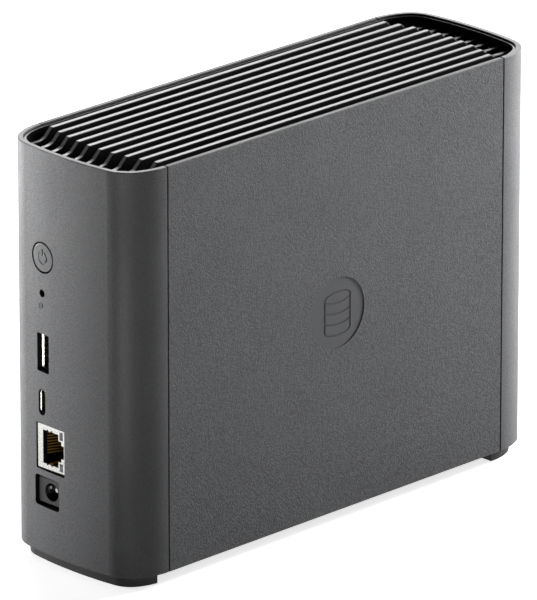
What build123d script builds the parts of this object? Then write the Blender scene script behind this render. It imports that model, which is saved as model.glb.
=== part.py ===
from build123d import *
import os
from math import cos, radians, sin, sqrt

# A single-bay network storage box, in millimetres. +Z is up, +Y is the rear with the ports,
# the badge is on the -X panel, and the origin is on the floor under the middle of the body.

# Overall sizes
BODY_WIDTH = 62.6
BODY_DEPTH = 196.3
TOTAL_HEIGHT = 148.0
FOOT_HEIGHT = 4.3

# Plan outline: flat sides, and ends drawn out from three tangent arcs
CORNER_RUN = 18.35
CORNER_RADIUS = 12.0
CORNER_CENTRE_INSET = 13.25
END_FLAT = 2.6

# Casing
WALL = 2.1
RIM_ROUND = 0.35
SEAM_GAP = 0.5
SEAM_ROUND = 0.15
LIP_THICKNESS = 1.2
LIP_CLEARANCE = 0.1
LIP_REACH = 6.0
CLIP_REACH = 2.6
CLIP_LENGTH = 10.0
CLIP_THICKNESS = 1.6
CLIP_Z = (34.0, 100.0)
FIT = 0.15

# Top grille
RIB_COUNT = 10
RIB_WIDTH = 1.95
RIB_EDGE = 3.985
RIB_ROUND = 0.3
RIB_DEPTH = 9.0
RIB_FLAT_INSET = 14.65
RIB_FLAT_ARCH = 5.3
RAMP_DROP = 3.5
RAMP_LENGTH = 6.5
RAMP_STRAIGHT = 3.1
RAMP_STRAIGHT_DROP = 2.85
GRILLE_FRAME = 1.5
GRILLE_LINING = 0.7
LINING_BELOW_RIM = 0.7
CROSS_BAR = 2.0
CROSS_BAR_COUNT = 7

# Floor of the casing and its feet
BASE_THICKNESS = 2.0
FOOT_INSET = 3.0
REAR_FOOT_LENGTH = 15.85
FRONT_FOOT_LENGTH = 19.75
FOOT_ROUND = 0.5
CASE_SCREW_FROM_SIDE = 12.3
CASE_SCREW_FROM_END = 11.65
BASE_SLOT_WIDTH = 2.4
BASE_SLOT_LENGTH = 26.0
BASE_SLOT_PITCH = 5.6

# Badge
BADGE_RADIUS = 12.7
BADGE_DEPTH = 0.3
BADGE_Y = 0.2
BADGE_Z = 76.2

# Rear end, each as its centre (X, Z)
BUTTON_AT = (10.2, 110.1)
BUTTON_RADIUS = 5.0
BUTTON_GAP = 0.55
BUTTON_TRAVEL = 0.5
RESET_AT = (10.5, 97.4)
RESET_HOLE_RADIUS = 1.35
RESET_MARK_AT = (11.1, 92.9)
USB_A_AT = (10.35, 76.2)
USB_A_SIZE = (5.7, 13.2)
USB_C_AT = (11.05, 58.5)
USB_C_SIZE = (3.16, 8.94)
LAN_AT = (7.15, 42.6)
LAN_SIZE = (13.4, 15.6)
POWER_AT = (8.9, 26.6)
POWER_SIZE = (12.0, 10.5)
PORT_GAP = 0.2
LAN_GAP = 0.45
USB_A_INSET = 2.4
USB_C_INSET = 0.9
LAN_INSET = 0.4
POWER_INSET = 0.9
POWER_FACE_SIZE = (10.2, 8.8)
POWER_BORE_SHIFT = -0.9
SHEET = 0.3
INSERT_GAP = 0.07

LAN_DEPTH = 21.0
TONGUE_THICKNESS = 1.85
TONGUE_FROM_WALL = 1.25
JACK_BORE = 3.2
JACK_PIN_RADIUS = 1.05
JACK_PIN_DEPTH = 2.2
JACK_BORE_DEPTH = 10.0
JACK_BODY_DEPTH = 13.0

# Switches behind the two buttons, and the status light
SWITCH_INSET = 8.15
SWITCH_LENGTH = 6.0
PLUNGER_OUT = 1.6
BUTTON_STEM = 1.4
POWER_PLUNGER_RADIUS = 1.3
RESET_PLUNGER_RADIUS = 0.9
LIGHT_Z = 28.0
LIGHT_SIZE = (1.4, 16.0)
LIGHT_BOARD = 1.0
LED_DEPTH = 1.2

# Main board, standing on edge along the ports
BOARD_X = 14.0
BOARD_THICKNESS = 1.6
BOARD_INSET = 6.15
BOARD_LENGTH = 112.0
BOARD_LOW = 16.0
BOARD_HIGH = 124.0
BOARD_HOLES_FROM_REAR = (106.0, 34.0)
BOARD_HOLE_Z = (32.0, 102.0)
CHIP_FROM_REAR = 58.0
CHIP_Z = 74.0
CHIP_HALF = 8.5
CHIP_HEIGHT = 1.3
PAD_THICKNESS = 0.7
SINK_HALF = 19.0
SINK_BASE = 2.5
SINK_HEIGHT = 8.9
SINK_FIN = 1.2
SINK_FIN_COUNT = 9
SINK_PIN_REACH = 15.0

# Chassis
DECK_THICKNESS = 2.0
FRAME_WALL_X = 3.0
FRAME_WALL = 2.0
FRAME_SHORT_OF_DRIVE = 3.0
FRAME_FRONT_INSET = 14.15
FRAME_FOOT_INSET = 48.15
FRAME_WINDOW_Z = (52.0, 82.0)
FRAME_WINDOW = (26.0, 9.0)
FRAME_WINDOW_COUNT = 7
FRAME_WINDOW_MARGIN = (18.0, 22.0)
DECK_SLOT_WIDTH = 2.6
DECK_SLOT_LENGTH = 28.0
DECK_SLOT_MARGIN = 7.8
FRAME_SCREW_X = 9.0
SCREW_HEAD = 1.3
DAMPER_OUT = 1.6

# 3.5 inch disk, standing on edge, its cover towards the badge panel
DRIVE_LENGTH = 147.0
DRIVE_BREADTH = 101.6
DRIVE_THICKNESS = 26.1
DRIVE_INSET = 31.15
DRIVE_FACE_X = 0.2
DRIVE_MID_Z = 66.8
DRIVE_HOLE_FROM_END = 41.28
DRIVE_HOLE_ALONG = 44.45
DRIVE_HOLE_ACROSS = 95.25
DRIVE_COVER = 1.0
DRIVE_FLOOR = 3.0
DRIVE_RECESS = 2.4
PLATTER_RADIUS = 47.5
PLATTER_THICKNESS = 1.27
PLATTER_GAP = 7.0
SPINDLE_FROM_FRONT = 51.5
HUB_RADIUS = 12.5
SPINDLE_POST_RADIUS = 4.0
SPINDLE_POST_SHORT = 2.7
PIVOT_POST_SHORT = 1.2
PIVOT_FROM_REAR = 39.0
PIVOT_Z = 42.0
PIVOT_RADIUS = 3.5
ARM_LENGTH = 52.0
ARM_PARK_ANGLE = 105.6
RUNNING_CLEARANCE = 0.05

# Riser between main board and disk, and the disk's plug
LINK_GAP = 3.0
LINK_BOARD = 1.6
LINK_BOARD_SHORT = 4.2
LINK_LOW = 24.0
LINK_HIGH = 66.0
PLUG_MARGIN = 4.0
PLUG_FROM_FACE = 3.0
PLUG_WIDTH = 5.8

# Places worked out from the sizes above
SIDE = BODY_WIDTH / 2
END = BODY_DEPTH / 2
INNER_SIDE = SIDE - WALL
SIDE_FLAT_HALF = END - CORNER_RUN
RIB_FLAT_END = END - RIB_FLAT_INSET
RIB_PITCH = 2 * (INNER_SIDE - FIT - RIB_EDGE) / (RIB_COUNT - 1)
REAR_FOOT_FLAT = END - REAR_FOOT_LENGTH
FRONT_FOOT_FLAT = END - FRONT_FOOT_LENGTH
CASE_SCREW_X = SIDE - CASE_SCREW_FROM_SIDE
CASE_SCREW_Y = END - CASE_SCREW_FROM_END
SWITCH_REAR = END - SWITCH_INSET
SWITCH_FRONT = SWITCH_REAR - SWITCH_LENGTH
PLUNGER_TIP = SWITCH_REAR + PLUNGER_OUT
BUTTON_FLANGE = PLUNGER_TIP + BUTTON_STEM
BOARD_REAR = END - BOARD_INSET
BOARD_FRONT = BOARD_REAR - BOARD_LENGTH
BOARD_HOLE_Y = [BOARD_REAR - from_rear for from_rear in BOARD_HOLES_FROM_REAR]
CHIP_AT = (BOARD_REAR - CHIP_FROM_REAR, CHIP_Z)
DRIVE_REAR = END - DRIVE_INSET
FRAME_REAR = DRIVE_REAR - FRAME_SHORT_OF_DRIVE
FRAME_FRONT = FRAME_FRONT_INSET - END
FRAME_FOOT_Y = END - FRAME_FOOT_INSET
PIVOT_Y = DRIVE_REAR - PIVOT_FROM_REAR
CORNER_CENTRE = Vector(SIDE - CORNER_CENTRE_INSET, END - CORNER_CENTRE_INSET)
SPREAD = 2 * (CORNER_CENTRE_INSET - CORNER_RADIUS)
SIDE_RUN = CORNER_CENTRE.Y - SIDE_FLAT_HALF
END_RUN = CORNER_CENTRE.X - END_FLAT / 2
SIDE_RADIUS = (CORNER_CENTRE_INSET**2 + SIDE_RUN**2 - CORNER_RADIUS**2) / SPREAD
END_RADIUS = (CORNER_CENTRE_INSET**2 + END_RUN**2 - CORNER_RADIUS**2) / SPREAD
BASE_TOP = FOOT_HEIGHT + BASE_THICKNESS
LEDGE_Z = TOTAL_HEIGHT - RAMP_DROP
GRILLE_LOW = TOTAL_HEIGHT - RIB_DEPTH - 4.0
DECK_TOP = GRILLE_LOW
DECK_LOW = DECK_TOP - DECK_THICKNESS
LIP_HIGH = DECK_LOW - 1.0
BOARD_FACE = BOARD_X + BOARD_THICKNESS
FRAME_WALL_OUT = FRAME_WALL_X + FRAME_WALL
LIGHT_BOARD_Y = FRAME_FRONT - 1
SINK_X = BOARD_FACE + CHIP_HEIGHT + PAD_THICKNESS
SINK_TOP = SINK_X + SINK_HEIGHT
HEATSINK_PINS_AT = (
    (CHIP_AT[0] - SINK_PIN_REACH, CHIP_AT[1] + SINK_PIN_REACH),
    (CHIP_AT[0] + SINK_PIN_REACH, CHIP_AT[1] - SINK_PIN_REACH),
)
CASE_SCREWS_AT = [
    (x, y) for x in (-CASE_SCREW_X, CASE_SCREW_X) for y in (-CASE_SCREW_Y, CASE_SCREW_Y)
]
FRAME_SCREWS_AT = [(FRAME_SCREW_X, y) for y in (-FRAME_FOOT_Y, FRAME_FOOT_Y)]
TONGUE_LOW = USB_A_AT[0] - USB_A_SIZE[0] / 2 + TONGUE_FROM_WALL
TONGUE_X = (TONGUE_LOW, TONGUE_LOW + TONGUE_THICKNESS)
DRIVE_FRONT = DRIVE_REAR - DRIVE_LENGTH
DRIVE_LOW = DRIVE_MID_Z - DRIVE_BREADTH / 2
DRIVE_HIGH = DRIVE_MID_Z + DRIVE_BREADTH / 2
DRIVE_BACK_X = DRIVE_FACE_X - DRIVE_THICKNESS
COVER_X = DRIVE_BACK_X + DRIVE_COVER
DRIVE_FLOOR_X = DRIVE_FACE_X - DRIVE_RECESS - DRIVE_FLOOR
SPINDLE_Y = DRIVE_FRONT + SPINDLE_FROM_FRONT
PLATTER_X = [DRIVE_FLOOR_X - 4.7 - PLATTER_THICKNESS / 2 - i * PLATTER_GAP for i in range(2)]
LINK_Y = DRIVE_REAR + LINK_GAP
LINK_Z = (LINK_LOW, LINK_HIGH)
LINK_EDGE = BOARD_X - LINK_BOARD_SHORT
PLUG_Z = (LINK_LOW + PLUG_MARGIN, LINK_HIGH - PLUG_MARGIN)
PLUG_X = (DRIVE_FACE_X - PLUG_FROM_FACE - PLUG_WIDTH, DRIVE_FACE_X - PLUG_FROM_FACE)
PLUG_MID_X = sum(PLUG_X) / 2
COVER_SCREWS_AT = [
    (y, z)
    for y in (DRIVE_FRONT + 4.6, DRIVE_REAR - 5.0)
    for z in (DRIVE_LOW + 4.6, DRIVE_HIGH - 4.6)
] + [(DRIVE_REAR - 7.0, DRIVE_MID_Z)]
DRIVE_HOLE_REAR = DRIVE_REAR - DRIVE_HOLE_FROM_END
DRIVE_HOLES_Y = (DRIVE_HOLE_REAR, DRIVE_HOLE_REAR - DRIVE_HOLE_ALONG)
DRIVE_HOLES_Z = (DRIVE_MID_Z - DRIVE_HOLE_ACROSS / 2, DRIVE_MID_Z + DRIVE_HOLE_ACROSS / 2)


# Building blocks

def block(low, high):
    """A box between its lowest and its highest corner."""
    size = [b - a for a, b in zip(low, high)]
    middle = [(a + b) / 2 for a, b in zip(low, high)]
    return Pos(*middle) * Box(*size)


def rod(radius, start, end):
    """A round bar between two points."""
    start = Vector(*start)
    end = Vector(*end)
    plane = Plane(origin=start, z_dir=end - start)
    return Part() + Solid.make_cylinder(radius, (end - start).length, plane)


def joined(pieces):
    """Several touching solids as one."""
    whole = Part()
    for piece in pieces:
        whole = whole + piece
    return whole


def group(pieces):
    """Several loose solids kept apart under one name."""
    return Compound(children=[solid for piece in pieces for solid in piece.solids()])


def arc_between(start, end, centre, radius):
    """The short arc from start to end around a centre."""
    towards = ((start - centre).normalized() + (end - centre).normalized()).normalized()
    return ThreePointArc(start, centre + towards * radius, end)


def corner_arcs(inset, flip_x, flip_y):
    """The three tangent arcs of one corner: off the side, round the corner, onto the end."""
    side_centre = Vector(SIDE - SIDE_RADIUS, SIDE_FLAT_HALF)
    end_centre = Vector(END_FLAT / 2, END - END_RADIUS)
    reach = CORNER_RADIUS - inset
    side_join = CORNER_CENTRE + (CORNER_CENTRE - side_centre).normalized() * reach
    end_join = CORNER_CENTRE + (CORNER_CENTRE - end_centre).normalized() * reach
    arcs = (
        (Vector(SIDE - inset, SIDE_FLAT_HALF), side_join, side_centre, SIDE_RADIUS - inset),
        (side_join, end_join, CORNER_CENTRE, reach),
        (end_join, Vector(END_FLAT / 2, END - inset), end_centre, END_RADIUS - inset),
    )
    placed = []
    for start, end, centre, radius in arcs:
        points = [Vector(p.X * flip_x, p.Y * flip_y) for p in (start, end, centre)]
        placed.append(arc_between(*points, radius))
    return placed


def plan(inset):
    """The body's outline seen from above, moved inwards all round."""
    edges = []
    for flip_x, flip_y in ((1, 1), (-1, 1), (-1, -1), (1, -1)):
        edges += corner_arcs(inset, flip_x, flip_y)
    for flip in (-1, 1):
        x = flip * (SIDE - inset)
        y = flip * (END - inset)
        edges.append(Line((x, -SIDE_FLAT_HALF), (x, SIDE_FLAT_HALF)))
        edges.append(Line((-END_FLAT / 2, y), (END_FLAT / 2, y)))
    return make_face(edges)


def prism(inset, low, high):
    """The plan outline standing from one height to another."""
    return Pos(0, 0, low) * extrude(plan(inset), high - low)


def ring(inset, thickness, low, high):
    """A wall of one thickness that follows the plan outline."""
    return prism(inset, low, high) - prism(inset + thickness, low - 1, high + 1)


def slice_y(shape, low, high):
    """The part of a shape between two places along Y."""
    return shape & block((-SIDE - 5, low, -5), (SIDE + 5, high, TOTAL_HEIGHT + 5))


def end_surface(x, inset=0.0):
    """How far out the rounded end reaches at a given X."""
    across = max(abs(x) - END_FLAT / 2, 0.0)
    return END - END_RADIUS + sqrt((END_RADIUS - inset)**2 - across**2)


def rear_window(centre, size, round_by, low_y, high_y):
    """A bar with rounded corners that runs along Y, for openings in the rear end."""
    middle = Plane(origin=(centre[0], low_y, centre[1]), x_dir=(-1, 0, 0), z_dir=(0, 1, 0))
    outline = RectangleRounded(size[0], size[1], round_by)
    return extrude(middle * outline, high_y - low_y)


def grown(size, by):
    """A width and height, both larger by the same gap on each side."""
    return (size[0] + 2 * by, size[1] + 2 * by)


# Casing

def casing_wall():
    """The whole outer wall with its softened rim, before it is parted at the seams."""
    wall = ring(0, WALL, FOOT_HEIGHT, TOTAL_HEIGHT)
    top = wall.edges().filter_by_position(Axis.Z, TOTAL_HEIGHT, TOTAL_HEIGHT)
    bottom = wall.faces().sort_by(Axis.Z)[0].outer_wire().edges()
    return fillet(top + bottom, RIM_ROUND)


def soften_seams(piece, seam_ys):
    """Round the outer upright edges where a piece ends at a seam."""
    edges = [
        edge
        for edge in piece.edges().filter_by(Axis.Z)
        if abs(abs(edge.center().X) - SIDE) < 0.01
        and any(abs(edge.center().Y - y) < 0.01 for y in seam_ys)
    ]
    return fillet(edges, SEAM_ROUND)


def shell_lip():
    """The inner lip that a side panel's edge laps over, rooted in the end shell at +Y."""
    root = ring(WALL - 0.05, LIP_THICKNESS + LIP_CLEARANCE + 0.05, BASE_TOP + 2, LIP_HIGH)
    tongue = ring(WALL + LIP_CLEARANCE, LIP_THICKNESS, BASE_TOP + 2, LIP_HIGH)
    seam = SIDE_FLAT_HALF + SEAM_GAP / 2
    return slice_y(root, seam, seam + 3) + slice_y(tongue, seam - LIP_REACH, seam + 3)


def screw_boss(x, y):
    """A boss for a casing screw, tied to the wall beside it by a web."""
    out = 1 if x > 0 else -1
    low = BASE_TOP
    high = BASE_TOP + 7
    post = rod(3.2, (x, y, low), (x, y, high))
    near, far = sorted((x, out * (SIDE - WALL / 2)))
    web = block((near, y - 1.2, low), (far, y + 1.2, high)) & prism(WALL / 2, low, high)
    pilot = rod(1.3, (x, y, low - 1), (x, y, high - 1))
    return post + web - pilot


def end_shell():
    """An end cap at +Y: wall, lips and screw bosses, with no openings yet."""
    wall = slice_y(casing_wall(), SIDE_FLAT_HALF + SEAM_GAP / 2, END + 5)
    wall = soften_seams(wall, (SIDE_FLAT_HALF + SEAM_GAP / 2,))
    bosses = [screw_boss(x, CASE_SCREW_Y) for x in (-CASE_SCREW_X, CASE_SCREW_X)]
    return joined([wall, shell_lip(), *bosses])


def reset_mark():
    """A small round arrow pressed into the rear end beside the reset pinhole."""
    face = Plane(
        origin=(RESET_MARK_AT[0], END, RESET_MARK_AT[1]), x_dir=(-1, 0, 0), z_dir=(0, 1, 0)
    )
    band = Circle(1.05) - Circle(0.72)
    opening = Pos(0.9, 0.55) * Rectangle(1.2, 0.9)
    head = Pos(0.72, 0.3) * Rot(0, 0, -35) * RegularPolygon(0.62, 3)
    depth = END - end_surface(RESET_MARK_AT[0]) + 0.2
    return extrude(face * (band - opening + head), -depth)


def rear_shell():
    """The rear end cap with every opening for ports and buttons."""
    shell = end_shell()
    low_y = END - 8
    high_y = END + 2
    x, z = BUTTON_AT
    reset_x, reset_z = RESET_AT
    usb_c_window = grown(USB_C_SIZE, PORT_GAP)
    cuts = [
        rod(BUTTON_RADIUS + BUTTON_GAP, (x, low_y, z), (x, high_y, z)),
        rod(RESET_HOLE_RADIUS, (reset_x, low_y, reset_z), (reset_x, high_y, reset_z)),
        rear_window(USB_A_AT, grown(USB_A_SIZE, PORT_GAP), 0.5, low_y, high_y),
        rear_window(USB_C_AT, usb_c_window, usb_c_window[0] / 2 - 0.01, low_y, high_y),
        rear_window(LAN_AT, grown(LAN_SIZE, LAN_GAP), 0.3, low_y, high_y),
        rear_window(POWER_AT, grown(POWER_SIZE, PORT_GAP), 1.2, low_y, high_y),
        reset_mark(),
    ]
    for cut in cuts:
        shell = shell - cut
    return shell


def front_shell():
    """The front end cap, with a narrow slot for the status light."""
    slot = rear_window((0, LIGHT_Z), grown(LIGHT_SIZE, 0.05), 0.7, END - 8, END + 2)
    return (end_shell() - slot).rotate(Axis.Z, 180)


def panel_clips(side):
    """Four hooks on the inside of a panel, beside the lips of the end shells."""
    root = side * (INNER_SIDE + 0.05)
    tip = side * (INNER_SIDE - CLIP_REACH)
    near, far = sorted((root, tip))
    outer = SIDE_FLAT_HALF - LIP_REACH - 0.4
    half = CLIP_LENGTH / 2
    clips = []
    for end in (-1, 1):
        start, stop = sorted((end * outer, end * (outer - CLIP_THICKNESS)))
        for z in CLIP_Z:
            clips.append(block((near, start, z - half), (far, stop, z + half)))
    return clips


def side_panel(side):
    """A flat panel on one side, from seam to seam, with its clips."""
    seam = SIDE_FLAT_HALF - SEAM_GAP / 2
    panel = slice_y(casing_wall(), -seam, seam)
    keep = block((0, -END, 0), (SIDE + 5, END, TOTAL_HEIGHT + 5))
    panel = panel & (keep if side > 0 else keep.rotate(Axis.Z, 180))
    panel = soften_seams(panel, (-seam, seam))
    return joined([panel, *panel_clips(side)])


def stacked_discs(line):
    """Lines of a little stack of three discs: one full oval and the fronts of three more."""
    wide = 6.4
    tall = 2.3
    step = 3.9
    top = 5.6
    oval = Ellipse(wide, tall) - Ellipse(wide - line, tall - line)
    front_half = Pos(0, -tall) * Rectangle(2 * wide + 2, 2 * tall)
    marks = [Pos(0, top) * oval]
    for level in range(1, 4):
        marks.append(Pos(0, top - level * step) * (oval & front_half))
    side_height = 3 * step
    for x in (-wide + line / 2, wide - line / 2):
        marks.append(Pos(x, top - side_height / 2) * Rectangle(line, side_height))
    drawn = Sketch()
    for mark in marks:
        drawn = drawn + mark
    return drawn


def left_side_panel():
    """The panel at -X with its round sunk badge."""
    face = Plane(origin=(-SIDE, BADGE_Y, BADGE_Z), x_dir=(0, -1, 0), z_dir=(-1, 0, 0))
    dish = extrude(face * Circle(BADGE_RADIUS), -BADGE_DEPTH)
    lines = extrude(face * stacked_discs(0.7), -BADGE_DEPTH - 0.2)
    return side_panel(-1) - dish - lines


def right_side_panel():
    """The plain panel at +X."""
    return side_panel(1)


def rib_side(x):
    """A rib seen from the side: flat top, straight ramp at each end that eases into a low ledge."""
    flat = RIB_FLAT_END - RIB_FLAT_ARCH * (x / (RIB_PITCH * RIB_COUNT / 2))**2
    ramp_end = flat + RAMP_LENGTH
    foot_of_ramp = (flat + RAMP_STRAIGHT, TOTAL_HEIGHT - RAMP_STRAIGHT_DROP)
    low = TOTAL_HEIGHT - RIB_DEPTH
    half = [
        Line((0, TOTAL_HEIGHT), (flat, TOTAL_HEIGHT)),
        Line((flat, TOTAL_HEIGHT), foot_of_ramp),
        TangentArc(foot_of_ramp, (ramp_end, LEDGE_Z), tangent=(-1, 0), tangent_from_first=False),
        Line((ramp_end, LEDGE_Z), (END, LEDGE_Z)),
        Line((END, LEDGE_Z), (END, low)),
        Line((END, low), (0, low)),
        Line((0, low), (0, TOTAL_HEIGHT)),
    ]
    plane = Plane(origin=(x - RIB_WIDTH / 2, 0, 0), x_dir=(0, 1, 0), z_dir=(1, 0, 0))
    solid = extrude(plane * make_face(half), RIB_WIDTH)
    return solid + mirror(solid, Plane.XZ)


def rib(x):
    """One rib of the grille with its two top edges rounded along flat, ramp and ledge."""
    body = rib_side(x)
    top = [
        edge
        for edge in body.edges()
        if edge.center().Z > LEDGE_Z - 0.01 and abs(edge.tangent_at(0.5).X) < 0.01
    ]
    body = fillet(top, RIB_ROUND)
    return body & prism(WALL + FIT + 0.5, GRILLE_LOW - 1, TOTAL_HEIGHT + 1)


def top_grille():
    """The ribbed insert: ribs on cross bars, inside a frame that drops into the rim."""
    low = TOTAL_HEIGHT - RIB_DEPTH
    frame = ring(WALL + FIT, GRILLE_FRAME, GRILLE_LOW, LEDGE_Z - 1.2)
    lining = ring(WALL + FIT, GRILLE_LINING, GRILLE_LOW, TOTAL_HEIGHT - LINING_BELOW_RIM)
    pieces = [frame, lining]
    spacing = 2 * SIDE_FLAT_HALF / (CROSS_BAR_COUNT - 1)
    inside = prism(WALL + FIT + 0.5, GRILLE_LOW, low + 2)
    for i in range(CROSS_BAR_COUNT):
        y = -SIDE_FLAT_HALF + i * spacing
        half = CROSS_BAR / 2
        bar = block((-SIDE, y - half, low - 1.5), (SIDE, y + half, low + 1.5))
        pieces.append(bar & inside)
    for i in range(RIB_COUNT):
        pieces.append(rib((i - (RIB_COUNT - 1) / 2) * RIB_PITCH))
    return joined(pieces)


def slots_along_y(width, length, low_z, high_z, places):
    """Upright cutters with round ends, long along Y, at a list of places."""
    slot = SlotOverall(length, width, rotation=90)
    return [Pos(x, y, low_z) * extrude(slot, high_z - low_z) for x, y in places]


def base_plate():
    """The floor of the casing: vent slots, and sunk holes for both sets of screws."""
    plate = prism(WALL + FIT, FOOT_HEIGHT, BASE_TOP)
    row_pitch = (FRAME_FOOT_Y + 1) / 1.5
    columns = [(column - 3.5) * BASE_SLOT_PITCH for column in range(8)]
    near_screws = BASE_SLOT_PITCH + 0.4
    places = [
        (x, row * row_pitch)
        for x in columns
        for row in (-1.5, -0.5, 0.5, 1.5)
        if abs(row) < 1 or abs(x - FRAME_SCREW_X) > near_screws
    ]
    size = (BASE_SLOT_WIDTH, BASE_SLOT_LENGTH)
    for slot in slots_along_y(*size, FOOT_HEIGHT - 1, BASE_TOP + 1, places):
        plate = plate - slot
    for x, y in CASE_SCREWS_AT + FRAME_SCREWS_AT:
        plate = plate - rod(1.4, (x, y, FOOT_HEIGHT - 1), (x, y, BASE_TOP + 1))
        sink = FOOT_HEIGHT + SCREW_HEAD + 0.1
        plate = plate - rod(2.8, (x, y, FOOT_HEIGHT - 1), (x, y, sink))
    return plate


def foot(flat_y):
    """A rubber pad under one end, following the rounded outline."""
    pad = slice_y(prism(FOOT_INSET, 0, FOOT_HEIGHT), flat_y, END)
    return fillet(pad.faces().sort_by(Axis.Z)[0].edges(), FOOT_ROUND)


def rear_foot():
    """The pad under the ports."""
    return foot(REAR_FOOT_FLAT)


def front_foot():
    """The pad under the front end."""
    return foot(FRONT_FOOT_FLAT).rotate(Axis.Z, 180)


def screw(head_radius, head_thickness, shank_radius, length, recess=True):
    """A pan head screw standing on its head at the origin, its shank up along +Z."""
    head = fillet(
        Solid.make_cylinder(head_radius, head_thickness).edges().sort_by(Axis.Z)[:1], 0.35
    )
    shank = rod(shank_radius, (0, 0, head_thickness), (0, 0, head_thickness + length))
    body = head + shank
    if recess:
        reach = head_radius * 0.55
        slot = block((-reach, -0.3, -1), (reach, 0.3, head_thickness * 0.6))
        body = body - slot - slot.rotate(Axis.Z, 90)
    return body


def screws_up(places, length):
    """Screws driven upwards into the casing, heads sunk in the base plate."""
    one = screw(2.6, SCREW_HEAD, 1.25, length)
    return group([Pos(x, y, FOOT_HEIGHT) * one for x, y in places])


def case_screws():
    """The four screws into the bosses of the end shells."""
    return screws_up(CASE_SCREWS_AT, 6.0)


def frame_screws():
    """The two screws that hold the chassis on the base plate."""
    return screws_up(FRAME_SCREWS_AT, 4.0)


# Chassis

def board_posts():
    """Posts from the chassis wall to the back of the main board, with screw holes."""
    posts = []
    for y in BOARD_HOLE_Y:
        for z in BOARD_HOLE_Z:
            post = rod(3.0, (FRAME_WALL_OUT - 0.5, y, z), (BOARD_X, y, z))
            posts.append(post - rod(1.3, (BOARD_X - 7, y, z), (BOARD_X + 1, y, z)))
    return posts


def inner_frame():
    """The chassis: a vented deck under the grille and a wall between disk and board."""
    deck = prism(WALL + FIT + 0.1, DECK_LOW, DECK_TOP)
    row_pitch = (SIDE_FLAT_HALF - DECK_SLOT_MARGIN) / 2
    places = [
        ((column - (RIB_COUNT - 2) / 2) * RIB_PITCH, row * row_pitch)
        for column in range(RIB_COUNT - 1)
        for row in (-1.5, -0.5, 0.5, 1.5)
    ]
    size = (DECK_SLOT_WIDTH, DECK_SLOT_LENGTH)
    for slot in slots_along_y(*size, DECK_LOW - 1, DECK_TOP + 1, places):
        deck = deck - slot
    wall = block(
        (FRAME_WALL_X, FRAME_FRONT, BASE_TOP), (FRAME_WALL_OUT, FRAME_REAR, DECK_LOW + 0.1)
    )
    feet = [
        block((FRAME_WALL_X, y - 5, BASE_TOP), (FRAME_SCREW_X + 3.4, y + 5, BASE_TOP + 3.5))
        for y in (-FRAME_FOOT_Y, FRAME_FOOT_Y)
    ]
    light_arm = block(
        (-6, FRAME_FRONT - 1, LIGHT_Z - 12), (FRAME_WALL_OUT, FRAME_FRONT + 2, LIGHT_Z + 12)
    )
    body = joined([deck, wall, light_arm, *feet, *board_posts()])
    first = FRAME_FRONT + FRAME_WINDOW_MARGIN[0]
    last = FRAME_REAR - FRAME_WINDOW_MARGIN[1]
    window = SlotOverall(*FRAME_WINDOW, rotation=90)
    for i in range(FRAME_WINDOW_COUNT):
        y = first + i * (last - first) / (FRAME_WINDOW_COUNT - 1)
        for z in FRAME_WINDOW_Z:
            plane = Plane(origin=(FRAME_WALL_X - 1, y, z), x_dir=(0, 1, 0), z_dir=(1, 0, 0))
            body = body - extrude(plane * window, FRAME_WALL + 1.2)
    for x, y in FRAME_SCREWS_AT:
        body = body - rod(1.3, (x, y, BASE_TOP - 1), (x, y, BASE_TOP + 4))
    for y in DRIVE_HOLES_Y:
        for z in DRIVE_HOLES_Z:
            body = body - rod(2.9, (FRAME_WALL_X - 1, y, z), (FRAME_WALL_OUT + 1, y, z))
    return body


def status_light_board():
    """A small board on the chassis that carries the status light."""
    face = LIGHT_BOARD_Y - LIGHT_BOARD
    return block((-5, face, LIGHT_Z - 10), (5, LIGHT_BOARD_Y, LIGHT_Z + 10))


def status_led():
    """Three small lights in a row behind the light pipe."""
    face = LIGHT_BOARD_Y - LIGHT_BOARD
    return group([
        block((-1.0, face - LED_DEPTH, LIGHT_Z + z - 1.5), (1.0, face, LIGHT_Z + z + 1.5))
        for z in (-5.5, 0, 5.5)
    ])


def status_light_pipe():
    """A clear bar from the lights to the outer face of the front shell."""
    back = LIGHT_BOARD_Y - LIGHT_BOARD - LED_DEPTH - 0.1
    bar = rear_window((0, LIGHT_Z), LIGHT_SIZE, 0.69, -END - 1, back)
    inside = -END + WALL
    flange = block((-2.5, inside + 0.6, LIGHT_Z - 10), (2.5, inside + 1.8, LIGHT_Z + 10))
    return (bar + flange) & prism(0, 0, TOTAL_HEIGHT)


# Power and reset buttons

def power_symbol():
    """An open ring with an upright bar, pressed into the button."""
    ring_mark = Circle(2.35) - Circle(1.85)
    opening = Pos(0, 2.0) * Rectangle(1.6, 2.0)
    bar = Pos(0, 1.9) * Rectangle(0.55, 2.3)
    return ring_mark - opening + bar


def power_button():
    """The round cap, flush with the rounded end, with its flange and stem."""
    x, z = BUTTON_AT
    cap = rod(BUTTON_RADIUS, (x, BUTTON_FLANGE, z), (x, END + 1, z)) & prism(0.05, 0, TOTAL_HEIGHT)
    rim = cap.edges().sort_by(Axis.Y)[-1:]
    cap = fillet(rim, 0.25)
    flange = rod(BUTTON_RADIUS + 1.0, (x, BUTTON_FLANGE, z), (x, BUTTON_FLANGE + 1.5, z))
    stem = rod(1.6, (x, PLUNGER_TIP, z), (x, BUTTON_FLANGE + 0.5, z))
    face = Plane(origin=(x, END, z), x_dir=(-1, 0, 0), z_dir=(0, 1, 0))
    depth = END - end_surface(x) + 0.3
    return cap + flange + stem - extrude(face * power_symbol(), -depth)


def switch_body(at, reach, half_height, bore):
    """A side-pressed switch on the main board with a bore for its plunger."""
    x, z = at
    low = (x - reach, SWITCH_FRONT, z - half_height)
    body = block(low, (BOARD_X, SWITCH_REAR, z + half_height))
    return body - rod(bore, (x, SWITCH_FRONT + 1.5, z), (x, SWITCH_REAR + 1, z))


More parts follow.
